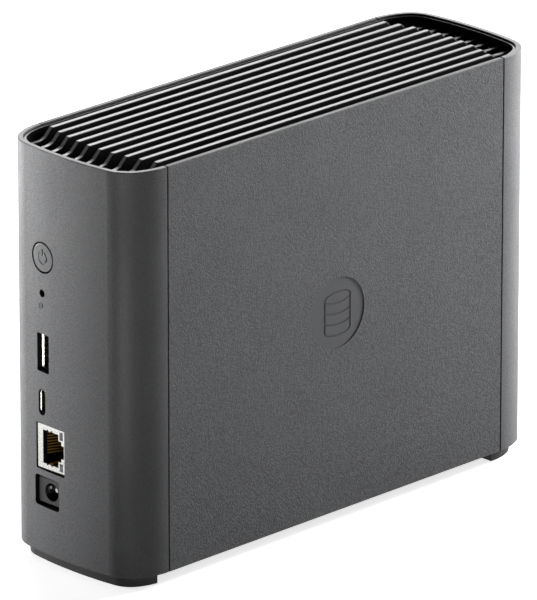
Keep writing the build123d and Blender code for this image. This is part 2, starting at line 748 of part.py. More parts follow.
def switch_plunger(at, radius):
    """The pin of a switch, standing out of its body."""
    x, z = at
    return rod(radius, (x, SWITCH_FRONT + 2.5, z), (x, PLUNGER_TIP, z))


def power_switch_body():
    """The switch behind the power button."""
    return switch_body(BUTTON_AT, 3.3, 3.3, POWER_PLUNGER_RADIUS + RUNNING_CLEARANCE)


def power_switch_plunger():
    """The pin that the power button presses."""
    return switch_plunger(BUTTON_AT, POWER_PLUNGER_RADIUS)


def reset_switch_body():
    """The switch behind the reset pinhole."""
    return switch_body(RESET_AT, 2.4, 2.4, RESET_PLUNGER_RADIUS + RUNNING_CLEARANCE)


def reset_switch_plunger():
    """The pin that a paper clip presses through the pinhole."""
    return switch_plunger(RESET_AT, RESET_PLUNGER_RADIUS)


# Ports

def port_face(at, size, inset):
    """Where a port's mouth lies along Y: a little inside the rounded end's lowest reach."""
    return end_surface(abs(at[0]) + size[0] / 2) - inset


def usb_a_shell():
    """The folded metal shell of the large socket, with two pressed springs."""
    mouth = port_face(USB_A_AT, USB_A_SIZE, USB_A_INSET)
    back = mouth - 14.0
    outer = rear_window(USB_A_AT, USB_A_SIZE, 0.45, back, mouth)
    inner = rear_window(USB_A_AT, grown(USB_A_SIZE, -SHEET), 0.2, back + SHEET, mouth + 1)
    wall_x = USB_A_AT[0] + USB_A_SIZE[0] / 2 - SHEET / 2
    springs = [
        Pos(wall_x, mouth - 3.2, USB_A_AT[1] + z) * Sphere(0.75) & inner for z in (-3.1, 3.1)
    ]
    return joined([outer - inner, *springs])


def usb_a_tongue():
    """The plastic tongue that carries the contacts, and the block behind it."""
    mouth = port_face(USB_A_AT, USB_A_SIZE, USB_A_INSET)
    back = mouth - 14.0 + SHEET
    x, z = USB_A_AT
    half_x = USB_A_SIZE[0] / 2 - SHEET - INSERT_GAP
    half_z = USB_A_SIZE[1] / 2 - SHEET - INSERT_GAP
    half_tongue = half_z - 0.68
    root = block((x - half_x, back + INSERT_GAP, z - half_z), (x + half_x, back + 3, z + half_z))
    tongue = block(
        (TONGUE_X[0], back + 2, z - half_tongue), (TONGUE_X[1], mouth - 0.8, z + half_tongue)
    )
    return root + tongue


def usb_a_contacts():
    """Four flat springs on the open face of the tongue."""
    mouth = port_face(USB_A_AT, USB_A_SIZE, USB_A_INSET)
    places = [USB_A_AT[1] + z for z in (-3.5, -1.0, 1.0, 3.5)]
    return group([
        block((TONGUE_X[1], mouth - 9, z - 0.5), (TONGUE_X[1] + 0.2, mouth - 1.8, z + 0.5))
        for z in places
    ])


def usb_c_shell():
    """The seamless oval shell of the small socket."""
    mouth = port_face(USB_C_AT, USB_C_SIZE, USB_C_INSET)
    outer = rear_window(USB_C_AT, USB_C_SIZE, USB_C_SIZE[0] / 2 - 0.01, mouth - 8, mouth)
    hollow = grown(USB_C_SIZE, -SHEET)
    inner = rear_window(USB_C_AT, hollow, hollow[0] / 2 - 0.01, mouth - 8 + SHEET, mouth + 1)
    return outer - inner


def usb_c_tongue():
    """The thin tongue in the middle of the oval shell."""
    mouth = port_face(USB_C_AT, USB_C_SIZE, USB_C_INSET)
    back = mouth - 8 + SHEET + INSERT_GAP
    x, z = USB_C_AT
    hollow = grown(USB_C_SIZE, -SHEET - INSERT_GAP)
    root = rear_window(USB_C_AT, hollow, hollow[0] / 2 - 0.01, back, back + 2)
    return root + block((x - 0.35, back + 1, z - 3.3), (x + 0.35, mouth - 0.7, z + 3.3))


def usb_c_contacts():
    """Rows of small pads on both faces of the thin tongue."""
    mouth = port_face(USB_C_AT, USB_C_SIZE, USB_C_INSET)
    pads = []
    for side in (-1, 1):
        low, high = sorted((USB_C_AT[0] + side * 0.35, USB_C_AT[0] + side * 0.45))
        for i in range(8):
            z = USB_C_AT[1] + (i - 3.5) * 0.72
            pads.append(block((low, mouth - 4.6, z - 0.16), (high, mouth - 1.2, z + 0.16)))
    return group(pads)


def lan_mouth():
    """Where the network socket's mouth lies along Y."""
    return port_face(LAN_AT, LAN_SIZE, LAN_INSET)


def lan_opening(grow, low_y, high_y):
    """The stepped opening for a network plug: the plug, then two narrower steps for its latch."""
    x, z = LAN_AT
    steps = ((-3.15, 4.25, 5.95), (-4.55, 0.0, 3.7), (-5.8, 0.0, 2.35))
    return joined([
        block((x + start - grow, low_y, z - half - grow), (x + stop + grow, high_y, z + half + grow))
        for start, stop, half in steps
    ])


def lan_jack_shield():
    """The folded metal can around the network socket, open at the mouth."""
    mouth = lan_mouth()
    back = mouth - LAN_DEPTH
    outer = rear_window(LAN_AT, LAN_SIZE, 0.25, back, mouth)
    inner = rear_window(LAN_AT, grown(LAN_SIZE, -SHEET), 0.1, back + SHEET, mouth - SHEET)
    openings = lan_opening(0.02, mouth - 1, mouth + 1) + lan_light_windows(0.1, mouth + 1)
    shield = outer - inner - openings
    x, z = LAN_AT
    for middle in (x, x + 2.1):
        notch = block((middle - 0.35, mouth - 1, z - 6.4), (middle + 0.35, mouth + 1, z + 6.4))
        shield = shield - notch
    return shield


def lan_light_windows(grow, high_y):
    """Bars for the two lights beside the latch."""
    x, z = LAN_AT
    low_y = lan_mouth() - 6
    bars = []
    for side in (-1, 1):
        low, high = sorted((z + side * 4.3, z + side * 6.95))
        corner = (x - 5.3 - grow, low_y - grow, low - grow)
        bars.append(block(corner, (x - 3.85 + grow, high_y, high + grow)))
    return joined(bars)


def lan_jack_lights():
    """The two clear lights at the latch side of the socket."""
    return group([lan_light_windows(0, lan_mouth())])


def lan_jack_housing():
    """The plastic block inside the can, with the stepped opening and the contact comb."""
    mouth = lan_mouth()
    back = mouth - LAN_DEPTH + SHEET + INSERT_GAP
    half_x = LAN_SIZE[0] / 2 - SHEET - INSERT_GAP
    half_z = LAN_SIZE[1] / 2 - SHEET - INSERT_GAP
    x, z = LAN_AT
    front = mouth - SHEET - INSERT_GAP
    body = block((x - half_x, back, z - half_z), (x + half_x, front, z + half_z))
    body = body - lan_opening(0, mouth - 14, mouth + 1) - lan_light_windows(0.05, mouth + 1)
    comb = block((x + 4.0, mouth - 14, z - 5.0), (x + 5.95, mouth - 2.0, z + 5.0))
    return body - comb


def lan_jack_contacts():
    """Eight sprung wires that slope back from the mouth."""
    mouth = lan_mouth()
    x, z = LAN_AT
    wires = []
    for i in range(8):
        height = z + (i - 3.5) * 1.02
        mouth_end = (x + 5.7, mouth - 2.6, height)
        bend = (x + 2.6, mouth - 9.6, height)
        root = (x + 5.2, mouth - 13.6, height)
        bends = [rod(0.23, mouth_end, bend), rod(0.23, bend, root)]
        knee = Pos(*bend) * Sphere(0.23)
        wires.append(joined([*bends, knee]))
    return group(wires)


def power_jack_mouth():
    """Where the power socket's face lies along Y."""
    return end_surface(POWER_AT[0] + POWER_SIZE[0] / 2) - POWER_INSET


def power_bore_x():
    """The bore of the power socket sits off the middle of its face."""
    return POWER_AT[0] + POWER_BORE_SHIFT


def power_jack_housing():
    """The block of the power socket with its round bore."""
    mouth = power_jack_mouth()
    x, z = POWER_AT
    nose = rear_window(POWER_AT, POWER_FACE_SIZE, 0.6, BOARD_REAR + 0.2, mouth)
    half_x = POWER_FACE_SIZE[0] / 2
    half_z = POWER_FACE_SIZE[1] / 2
    back = mouth - JACK_BODY_DEPTH
    body = block((x - half_x, back, z - half_z), (BOARD_X, BOARD_REAR + 0.3, z + half_z))
    bore_x = power_bore_x()
    bore = rod(JACK_BORE, (bore_x, mouth - JACK_BORE_DEPTH, z), (bore_x, mouth + 1, z))
    return nose + body - bore


def power_jack_pin():
    """The centre pin of the power socket."""
    mouth = power_jack_mouth()
    start = (power_bore_x(), mouth - JACK_BORE_DEPTH, POWER_AT[1])
    tip = (power_bore_x(), mouth - JACK_PIN_DEPTH, POWER_AT[1])
    return fillet(rod(JACK_PIN_RADIUS, start, tip).edges().sort_by(Axis.Y)[-1:], 0.5)


def power_jack_spring():
    """The bowed leaf that touches the plug's sleeve, along the +X side of the bore."""
    mouth = power_jack_mouth()
    seat = power_bore_x() + JACK_BORE - 0.4
    inner = seat - SHEET
    front = mouth - 1.2
    back = mouth - JACK_BORE_DEPTH + 0.5
    bow = 0.6
    middle = (front + back) / 2
    leaf = [
        ThreePointArc((seat, back), (seat - bow, middle), (seat, front)),
        Line((seat, front), (inner, front)),
        ThreePointArc((inner, front), (inner - bow, middle), (inner, back)),
        Line((inner, back), (seat, back)),
    ]
    return Pos(0, 0, POWER_AT[1] - 1.2) * extrude(make_face(leaf), 2.4)


# Electronics

def main_board():
    """The main circuit board, standing on edge."""
    board = block((BOARD_X, BOARD_FRONT, BOARD_LOW), (BOARD_FACE, BOARD_REAR, BOARD_HIGH))
    board = fillet(board.edges().filter_by(Axis.X), 2.0)
    for y in BOARD_HOLE_Y:
        for z in BOARD_HOLE_Z:
            board = board - rod(1.6, (BOARD_X - 1, y, z), (BOARD_FACE + 1, y, z))
    for y, z in HEATSINK_PINS_AT:
        board = board - rod(1.2, (BOARD_X - 1, y, z), (BOARD_FACE + 1, y, z))
    return board


def board_screws():
    """Four screws that hold the main board on its posts."""
    pieces = []
    for y in BOARD_HOLE_Y:
        for z in BOARD_HOLE_Z:
            turned = screw(2.7, 1.5, 1.25, 7.0).rotate(Axis.Y, -90)
            pieces.append(Pos(BOARD_FACE + 1.5, y, z) * turned)
    return group(pieces)


def on_board(y, z, half_y, half_z, height):
    """A flat chip on the outer face of the main board."""
    return block((BOARD_FACE, y - half_y, z - half_z), (BOARD_FACE + height, y + half_y, z + half_z))


def processor():
    """The main chip."""
    return on_board(*CHIP_AT, CHIP_HALF, CHIP_HALF, CHIP_HEIGHT)


def thermal_pad():
    """The soft pad between main chip and heatsink."""
    start = BOARD_FACE + CHIP_HEIGHT
    y, z = CHIP_AT
    half = CHIP_HALF - 1
    return block((start, y - half, z - half), (start + PAD_THICKNESS, y + half, z + half))


def processor_heatsink():
    """A finned block over the main chip."""
    y, z = CHIP_AT
    low = (SINK_X, y - SINK_HALF, z - SINK_HALF)
    base = block(low, (SINK_X + SINK_BASE, y + SINK_HALF, z + SINK_HALF))
    fins = []
    half_fin = SINK_FIN / 2
    spacing = (2 * SINK_HALF - SINK_FIN) / (SINK_FIN_COUNT - 1)
    for i in range(SINK_FIN_COUNT):
        place = y - SINK_HALF + half_fin + i * spacing
        corner = (SINK_X, place - half_fin, z - SINK_HALF)
        fins.append(block(corner, (SINK_TOP, place + half_fin, z + SINK_HALF)))
    sink = joined([base, *fins])
    for pin_y, pin_z in HEATSINK_PINS_AT:
        sink = sink - rod(3.2, (SINK_X + SINK_BASE, pin_y, pin_z), (SINK_TOP + 1, pin_y, pin_z))
        sink = sink - rod(1.2, (SINK_X - 1, pin_y, pin_z), (SINK_TOP, pin_y, pin_z))
    return sink


def heatsink_pins():
    """Two push pins that hold the heatsink on the board."""
    pins = []
    for y, z in HEATSINK_PINS_AT:
        shank = rod(1.1, (BOARD_X - 2, y, z), (SINK_X + SINK_BASE + 0.5, y, z))
        head = rod(2.6, (SINK_X + SINK_BASE, y, z), (SINK_X + SINK_BASE + 2, y, z))
        pins.append(shank + head)
    return group(pins)


def memory_chips():
    """Two memory chips in front of the heatsink."""
    y = CHIP_AT[0] - SINK_HALF - 11.0
    return group([on_board(y, CHIP_Z + z, 5.0, 4.0, 1.1) for z in (-8.0, 8.0)])


def power_inductors():
    """Three choke coils near the power socket."""
    places = [BOARD_REAR - from_rear for from_rear in (62.0, 50.0, 22.0)]
    return group([on_board(y, 30.0, 3.5, 3.5, 3.0) for y in places])


def capacitors():
    """Four round capacitors."""
    cans = []
    for y in (BOARD_REAR - 88.0, BOARD_REAR - 78.0):
        for z in (30.0, 42.0):
            can = rod(3.15, (BOARD_FACE, y, z), (BOARD_FACE + 6, y, z))
            cans.append(fillet(can.edges().sort_by(Axis.X)[-1:], 0.4))
    return group(cans)


def network_transformer():
    """The signal transformer beside the network socket."""
    return on_board(BOARD_REAR - 12.0, LAN_AT[1], 5.0, 7.0, 4.5)


def drive_link_board():
    """The riser that carries power and data from the main board to the disk."""
    far = LINK_Y + LINK_BOARD
    return block((DRIVE_BACK_X + 10, LINK_Y, LINK_Z[0]), (LINK_EDGE, far, LINK_Z[1]))


def link_connector():
    """The right-angle connector that ties the riser to the main board."""
    low = LINK_Z[0] + 3
    high = LINK_Z[1] - 3
    face = LINK_Y + LINK_BOARD
    body = block((LINK_EDGE - 3.0, face, low), (BOARD_X, face + 3.2, high))
    heel = block((LINK_EDGE + 0.1, LINK_Y, low), (BOARD_X, face + 0.1, high))
    return body + heel


def drive_socket():
    """The socket on the riser that takes the disk's plug."""
    low, high = PLUG_Z
    nose = DRIVE_REAR - 4.0
    body = block((PLUG_X[0] + 0.5, nose, low + 1.5), (PLUG_X[1] - 0.5, LINK_Y, high - 1.5))
    slot_low = (PLUG_MID_X - 0.7, nose - 1, low + 3.3)
    slot = block(slot_low, (PLUG_MID_X + 0.7, LINK_Y - 1, high - 3.3))
    return body - slot


def drive_connector():
    """The disk's own plug: a walled pocket with a blade in it."""
    low, high = PLUG_Z
    floor = DRIVE_REAR - 5
    body = block((PLUG_X[0] - 0.8, DRIVE_REAR - 8, low - 1), (PLUG_X[1] + 0.8, DRIVE_REAR, high + 1))
    pocket = block((PLUG_X[0] + 0.2, floor, low + 1), (PLUG_X[1] - 0.2, DRIVE_REAR + 1, high - 1))
    blade_low = (PLUG_MID_X - 0.5, floor - 1, low + 3.6)
    blade = block(blade_low, (PLUG_MID_X + 0.5, DRIVE_REAR - 0.5, high - 3.6))
    return body - pocket + blade


# The disk

def drive_block(inset, low_x, high_x):
    """The disk's outline, inset all round, between two places along X."""
    low = (low_x, DRIVE_FRONT + inset, DRIVE_LOW + inset)
    high = (high_x, DRIVE_REAR - inset, DRIVE_HIGH - inset)
    return block(low, high)


def drive_cavity():
    """The space inside the disk: round over the platters, square over the arm."""
    open_end = (COVER_X - 1, SPINDLE_Y, DRIVE_MID_Z)
    disc = rod(PLATTER_RADIUS + 1.2, open_end, (DRIVE_FLOOR_X, SPINDLE_Y, DRIVE_MID_Z))
    corner = (DRIVE_FLOOR_X, DRIVE_REAR - 14, DRIVE_HIGH - 5)
    bay = block((COVER_X - 1, SPINDLE_Y, DRIVE_LOW + 5), corner)
    return disc + bay


def drive_casting():
    """The disk's cast body with its posts, the mounting holes and the pocket for its board."""
    body = drive_block(0, COVER_X, DRIVE_FACE_X)
    body = fillet(body.edges().filter_by(Axis.X), 2.5)
    body = body - drive_cavity()
    pocket = block(
        (DRIVE_FACE_X - DRIVE_RECESS, DRIVE_FRONT + 62, DRIVE_LOW + 7),
        (DRIVE_FACE_X + 1, DRIVE_REAR + 1, DRIVE_HIGH - 7),
    )
    plug_space = block(
        (PLUG_X[0] - 0.9, DRIVE_REAR - 8.1, PLUG_Z[0] - 1.1),
        (PLUG_X[1] + 3.2, DRIVE_REAR + 1, PLUG_Z[1] + 1.1),
    )
    body = body - pocket - plug_space
    post_tip = (COVER_X + SPINDLE_POST_SHORT, SPINDLE_Y, DRIVE_MID_Z)
    body = body + rod(SPINDLE_POST_RADIUS, post_tip, (DRIVE_FLOOR_X + 0.5, SPINDLE_Y, DRIVE_MID_Z))
    for y in DRIVE_HOLES_Y:
        for z in DRIVE_HOLES_Z:
            body = body - rod(1.75, (DRIVE_FACE_X - 5.5, y, z), (DRIVE_FACE_X + 1, y, z))
    for y, z in COVER_SCREWS_AT:
        body = body - rod(1.05, (COVER_X - 1, y, z), (COVER_X + 5, y, z))
    return body


def drive_cover():
    """The sheet cover of the disk."""
    cover = drive_block(1.2, DRIVE_BACK_X, COVER_X)
    cover = fillet(cover.edges().filter_by(Axis.X), 2.0)
    for y, z in COVER_SCREWS_AT:
        cover = cover - rod(1.1, (DRIVE_BACK_X - 1, y, z), (COVER_X + 1, y, z))
    return cover


def drive_cover_screws():
    """The small screws that hold the disk's cover."""
    pieces = []
    for y, z in COVER_SCREWS_AT:
        turned = screw(2.2, 0.9, 1.0, 4.5).rotate(Axis.Y, 90)
        pieces.append(Pos(DRIVE_BACK_X - 0.9, y, z) * turned)
    return group(pieces)


def drive_board():
    """The disk's own circuit board, sunk in the pocket of the casting."""
    high_x = DRIVE_FACE_X - DRIVE_RECESS + 1.0
    return block(
        (DRIVE_FACE_X - DRIVE_RECESS, DRIVE_FRONT + 64, DRIVE_LOW + 8.5),
        (high_x, DRIVE_REAR - 8.5, DRIVE_HIGH - 8.5),
    )


def platter_bar(radius, low_x, high_x, bore):
    """A round piece on the spindle with a bore."""
    bar = rod(radius, (low_x, SPINDLE_Y, DRIVE_MID_Z), (high_x, SPINDLE_Y, DRIVE_MID_Z))
    return bar - rod(bore, (low_x - 1, SPINDLE_Y, DRIVE_MID_Z), (high_x + 1, SPINDLE_Y, DRIVE_MID_Z))


def drive_hub():
    """The turning hub of the motor, running on its fixed post."""
    bore = SPINDLE_POST_RADIUS + RUNNING_CLEARANCE
    seat = PLATTER_X[0] + PLATTER_THICKNESS / 2
    top = PLATTER_X[1] - PLATTER_THICKNESS / 2 - 1.0
    flange = platter_bar(HUB_RADIUS + 3.5, seat, DRIVE_FLOOR_X - 0.6, bore)
    barrel = platter_bar(HUB_RADIUS, top, DRIVE_FLOOR_X - 0.6, bore)
    return flange + barrel


def drive_platters():
    """The two disks that hold the data."""
    half = PLATTER_THICKNESS / 2
    bore = HUB_RADIUS + RUNNING_CLEARANCE
    return group([platter_bar(PLATTER_RADIUS, x - half, x + half, bore) for x in PLATTER_X])


def platter_spacer():
    """The ring between the two disks."""
    low = PLATTER_X[1] + PLATTER_THICKNESS / 2
    high = PLATTER_X[0] - PLATTER_THICKNESS / 2
    return platter_bar(HUB_RADIUS + 3.5, low, high, HUB_RADIUS + 0.05)


def platter_clamp():
    """The cap that holds the disks on the hub."""
    seat = PLATTER_X[1] - PLATTER_THICKNESS / 2
    cap = platter_bar(HUB_RADIUS + 3.5, seat - 2.2, seat, SPINDLE_POST_RADIUS + 0.3)
    return cap - platter_bar(HUB_RADIUS + 0.05, seat - 1.0, seat + 1, 0.5)


def polar(distance, angle):
    """A point in the plane of the platters, seen from the arm's pivot."""
    return (PIVOT_Y + distance * cos(radians(angle)), PIVOT_Z + distance * sin(radians(angle)))


def flat_blade(points, low_x, high_x):
    """A flat piece with straight edges across the arm's pivot axis."""
    plane = Plane(origin=(low_x, 0, 0), x_dir=(0, 1, 0), z_dir=(1, 0, 0))
    return extrude(plane * make_face(Polyline(*points, close=True)), high_x - low_x)


def drive_head_arm():
    """The swinging arm: three blades, a round bearing block and the coil at its tail."""
    gaps = (PLATTER_X[0] + 2.6, (PLATTER_X[0] + PLATTER_X[1]) / 2, PLATTER_X[1] - 2.6)
    across = ARM_PARK_ANGLE + 90
    shoulder = (5.5 * cos(radians(across)), 5.5 * sin(radians(across)))
    tip = (1.2 * cos(radians(across)), 1.2 * sin(radians(across)))
    end_y, end_z = polar(ARM_LENGTH, ARM_PARK_ANGLE)
    outline = [
        (PIVOT_Y + shoulder[0], PIVOT_Z + shoulder[1]),
        (end_y + tip[0], end_z + tip[1]),
        (end_y - tip[0], end_z - tip[1]),
        (PIVOT_Y - shoulder[0], PIVOT_Z - shoulder[1]),
    ]
    blades = [flat_blade(outline, x - 0.45, x + 0.45) for x in gaps]
    bearing = rod(7.5, (gaps[2] - 0.6, PIVOT_Y, PIVOT_Z), (gaps[0] + 0.6, PIVOT_Y, PIVOT_Z))
    coil_y, coil_z = polar(14.5, ARM_PARK_ANGLE + 180)
    coil = rod(4.6, (gaps[1] - 0.9, coil_y, coil_z), (gaps[1] + 0.9, coil_y, coil_z))
    neck_y, neck_z = polar(9.0, ARM_PARK_ANGLE + 180)
    neck = rod(3.6, (gaps[1] - 0.9, neck_y, neck_z), (gaps[1] + 0.9, neck_y, neck_z))
    bore = rod(PIVOT_RADIUS + RUNNING_CLEARANCE, (COVER_X, PIVOT_Y, PIVOT_Z), (0, PIVOT_Y, PIVOT_Z))
    return joined([bearing, *blades, coil, neck]) - bore


def drive_pivot_post():
    """The fixed post that the arm turns on, standing on the casting's floor."""
    tip = (COVER_X + PIVOT_POST_SHORT, PIVOT_Y, PIVOT_Z)
    return rod(PIVOT_RADIUS, tip, (DRIVE_FLOOR_X, PIVOT_Y, PIVOT_Z))


def drive_magnets():
    """The magnet yoke above and below the arm's coil."""
    middle = (PLATTER_X[0] + PLATTER_X[1]) / 2
    low_z = DRIVE_LOW + 5.2
    near = PIVOT_Y - 6.0
    far = PIVOT_Y + 22.5
    high_z = PIVOT_Z - 9.0
    plates = [
        block((middle + 1.8, near, low_z), (DRIVE_FLOOR_X, far, high_z)),
        block((middle - 4.5, near, low_z), (middle - 1.8, far, high_z)),
        block((middle - 4.5, far - 3.0, low_z), (DRIVE_FLOOR_X, far, low_z + 3.5)),
    ]
    return joined(plates)


def drive_dampers():
    """Rubber grommets between the disk and the chassis wall."""
    pieces = []
    for y in DRIVE_HOLES_Y:
        for z in DRIVE_HOLES_Z:
            inner = rod(4.2, (DRIVE_FACE_X, y, z), (FRAME_WALL_X, y, z))
            collar = rod(2.85, (FRAME_WALL_X - 0.1, y, z), (FRAME_WALL_OUT + 0.1, y, z))
            outer = rod(4.2, (FRAME_WALL_OUT, y, z), (FRAME_WALL_OUT + DAMPER_OUT, y, z))
            hole = rod(1.8, (DRIVE_FACE_X - 1, y, z), (FRAME_WALL_OUT + DAMPER_OUT + 1, y, z))
            pieces.append(joined([inner, collar, outer]) - hole)
    return group(pieces)


def drive_screws():
    """Shoulder screws through the grommets into the disk."""
    head = 1.7
    start = FRAME_WALL_OUT + DAMPER_OUT
    reach = start - (DRIVE_FACE_X - 5.0)
    pieces = []
    for y in DRIVE_HOLES_Y:
        for z in DRIVE_HOLES_Z:
            turned = screw(3.4, head, 1.7, reach).rotate(Axis.Y, -90)
            pieces.append(Pos(start + head, y, z) * turned)
    return group(pieces)


PIECES = (
    rear_shell, front_shell, left_side_panel, right_side_panel, top_grille, base_plate,
    rear_foot, front_foot, case_screws, inner_frame, frame_screws,
    power_button, power_switch_body, power_switch_plunger, reset_switch_body, reset_switch_plunger,
    status_light_board, status_led, status_light_pipe,
    usb_a_shell, usb_a_tongue, usb_a_contacts, usb_c_shell, usb_c_tongue, usb_c_contacts,
    lan_jack_shield, lan_jack_housing, lan_jack_contacts, lan_jack_lights,
    power_jack_housing, power_jack_pin, power_jack_spring,
    main_board, board_screws, processor, thermal_pad, processor_heatsink, heatsink_pins,
    memory_chips, power_inductors, capacitors, network_transformer,
    drive_link_board, link_connector, drive_socket,
    drive_connector, drive_casting, drive_cover, drive_cover_screws, drive_board,
    drive_hub, drive_platters, platter_spacer, platter_clamp,
    drive_head_arm, drive_pivot_post, drive_magnets, drive_dampers, drive_screws,
)

os.makedirs("parts", exist_ok=True)
for make_piece in PIECES:
    export_step(make_piece(), "parts/" + make_piece.__name__ + ".step")
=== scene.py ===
"""A single-bay network storage box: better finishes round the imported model, camera and soft light."""

import math

import bpy
import numpy as np
from mathutils import Matrix, Vector


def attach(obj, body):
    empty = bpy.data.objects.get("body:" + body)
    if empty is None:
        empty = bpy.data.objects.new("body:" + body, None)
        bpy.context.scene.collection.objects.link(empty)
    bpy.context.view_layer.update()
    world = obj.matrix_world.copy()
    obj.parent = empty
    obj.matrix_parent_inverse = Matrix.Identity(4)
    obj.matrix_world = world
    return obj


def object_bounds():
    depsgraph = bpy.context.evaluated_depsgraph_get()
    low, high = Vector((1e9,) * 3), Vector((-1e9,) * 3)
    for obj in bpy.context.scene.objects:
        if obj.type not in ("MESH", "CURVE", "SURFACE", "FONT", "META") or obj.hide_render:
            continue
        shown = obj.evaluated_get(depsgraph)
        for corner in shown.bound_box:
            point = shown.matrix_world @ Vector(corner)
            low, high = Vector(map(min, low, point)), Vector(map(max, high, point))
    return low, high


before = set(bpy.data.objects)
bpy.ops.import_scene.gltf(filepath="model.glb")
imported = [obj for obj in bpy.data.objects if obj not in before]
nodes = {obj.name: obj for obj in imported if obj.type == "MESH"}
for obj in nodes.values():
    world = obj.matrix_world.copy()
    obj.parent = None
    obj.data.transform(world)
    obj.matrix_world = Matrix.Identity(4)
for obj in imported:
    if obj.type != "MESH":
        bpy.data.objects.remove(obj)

cad_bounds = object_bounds()
MM = 0.001


# Colour and node helpers

def linear(hex_colour):
    """An sRGB hex colour as the linear RGBA that shaders take."""
    channels = [int(hex_colour[i:i + 2], 16) / 255 for i in (1, 3, 5)]
    bent = [c / 12.92 if c <= 0.04045 else ((c + 0.055) / 1.055) ** 2.4 for c in channels]
    return (*bent, 1.0)


def add(material, kind, settings=None, links=None):
    """Adds one node, with its settings, and links each of its inputs that is named to an output."""
    tree = material.node_tree
    node = tree.nodes.new("ShaderNode" + kind)
    for key, value in (settings or {}).items():
        if isinstance(key, str) and hasattr(node, key):
            setattr(node, key, value)
        else:
            node.inputs[key].default_value = value
    for key, output in (links or {}).items():
        tree.links.new(output, node.inputs[key])
    return node


def started(name):
    """An empty node material with its object coordinates."""
    material = bpy.data.materials.new(name)
    material.use_nodes = True
    material.node_tree.nodes.clear()
    return material, add(material, "TexCoord")


def finished(material, settings, links):
    """Closes a material with one Principled shader."""
    shader = add(material, "BsdfPrincipled", settings, links)
    add(material, "OutputMaterial", None, {"Surface": shader.outputs["BSDF"]})
    return material


def span(low, high, first, last):
    """Map Range settings: runs from first to last while the value goes from low to high."""
    return {"From Min": low, "From Max": high, "To Min": first, "To Max": last}


def colours(dark, light):
    """Colour Mix settings: from the first to the second hex colour."""
    return {"data_type": "RGBA", 6: linear(dark), 7: linear(light)}


# Finishes

FLOW_MARK = 30
# Painted shade: the black put on inward faces and sills of openings below the rim, where the walls only lie
# in shadow.
PAINTED_SHADE_BLACK = "#060606"
RIM_ZONE = (140 * MM, 141 * MM)
INWARD_SLACK = 0.5 * MM
SKIN_FROM_MIDDLE = 30.9 * MM


def moulded(
    name, dark, light, grain_mm, depth_mm, matt, gloss,
    calm=None, painted_shade_zones=None, turn=(0, 0, 0), stretch=(1, 1, 1), gleam=0.5,
):
    """Moulded plastic: noise of one grain size tints, roughens and bumps the surface.

    calm gives the zones without grain; the second mask gives the zones painted black, a painted shade.
    """
    material, coordinates = started(name)
    place = coordinates.outputs["Object"]
    turned = {"vector_type": "TEXTURE", "Rotation": turn, "Scale": stretch}
    laid = add(material, "Mapping", turned, {"Vector": place}).outputs[0]
    fine = {"Scale": 1 / (grain_mm * MM), "Detail": 2.0, "Roughness": 0.55}
    grain = add(material, "TexNoise", fine, {"Vector": laid}).outputs["Fac"]
    if calm is not None:
        grained = {0: calm(material, coordinates), 3: grain}
        grain = add(material, "Mix", {"data_type": "FLOAT", 2: 0.5}, grained).outputs[0]
    broad = {"Scale": 1 / (FLOW_MARK * MM), "Detail": 1.0}
    flow = add(material, "TexNoise", broad, {"Vector": place}).outputs["Fac"]
    shade = add(material, "MapRange", span(0.32, 0.68, 0.0, 1.0), {"Value": grain}).outputs[0]
    tint = add(material, "Mix", colours(dark, light), {0: shade}).outputs[2]
    rough = add(material, "MapRange", span(0.3, 0.7, matt, gloss), {"Value": flow}).outputs[0]
    # Painted shade: the masked zones are painted black in place of shadow.
    if painted_shade_zones is not None:
        shade_links = {0: painted_shade_zones(material, coordinates), 6: tint}
        tint = add(material, "Mix", {"data_type": "RGBA", 7: linear(PAINTED_SHADE_BLACK)}, shade_links).outputs[2]
    relief = add(material, "Bump", {"Strength": 1.0, "Distance": depth_mm * MM}, {"Height": grain})
    settings = {"IOR": 1.5, "Specular IOR Level": gleam}
    links = {"Base Color": tint, "Roughness": rough, "Normal": relief.outputs[0]}
    return finished(material, settings, links)


def polished_top(material, coordinates):
    """1 on grained walls and 0 on faces that look up, which the mould leaves smooth."""
    parts = add(material, "SeparateXYZ", None, {"Vector": coordinates.outputs["Normal"]})
    return add(material, "MapRange", span(0.5, 0.85, 1.0, 0.0), {"Value": parts.outputs["Z"]}).outputs[0]


def painted_inner_shade(material, coordinates):
    """1 on faces that look inwards and on the sills of openings, which are painted black: painted shade
    standing for the shadow inside the casing.
    """
    place = coordinates.outputs["Object"]
    flat = add(material, "VectorMath", {"operation": "MULTIPLY", 1: (1, 1, 0)}, {0: place}).outputs[0]
    outwards = {0: flat, 1: coordinates.outputs["Normal"]}
    facing = add(material, "VectorMath", {"operation": "DOT_PRODUCT"}, outwards).outputs["Value"]
    parts = add(material, "SeparateXYZ", None, {"Vector": place})
    below_rim = span(*RIM_ZONE, INWARD_SLACK, -INWARD_SLACK)
    limit = add(material, "MapRange", below_rim, {"Value": parts.outputs["Z"]}).outputs[0]
    inward = add(material, "Math", {"operation": "LESS_THAN"}, {0: facing, 1: limit}).outputs[0]
    across = add(material, "Math", {"operation": "ABSOLUTE"}, {0: parts.outputs["X"]}).outputs[0]
    deep = add(material, "Math", {"operation": "LESS_THAN", 1: SKIN_FROM_MIDDLE}, {0: across}).outputs[0]
    return add(material, "Math", {"operation": "MULTIPLY"}, {0: inward, 1: deep}).outputs[0]


BADGE_AT = (0.0, 0.2 * MM, 76.2 * MM)
BADGE_RADIUS = 12.75 * MM


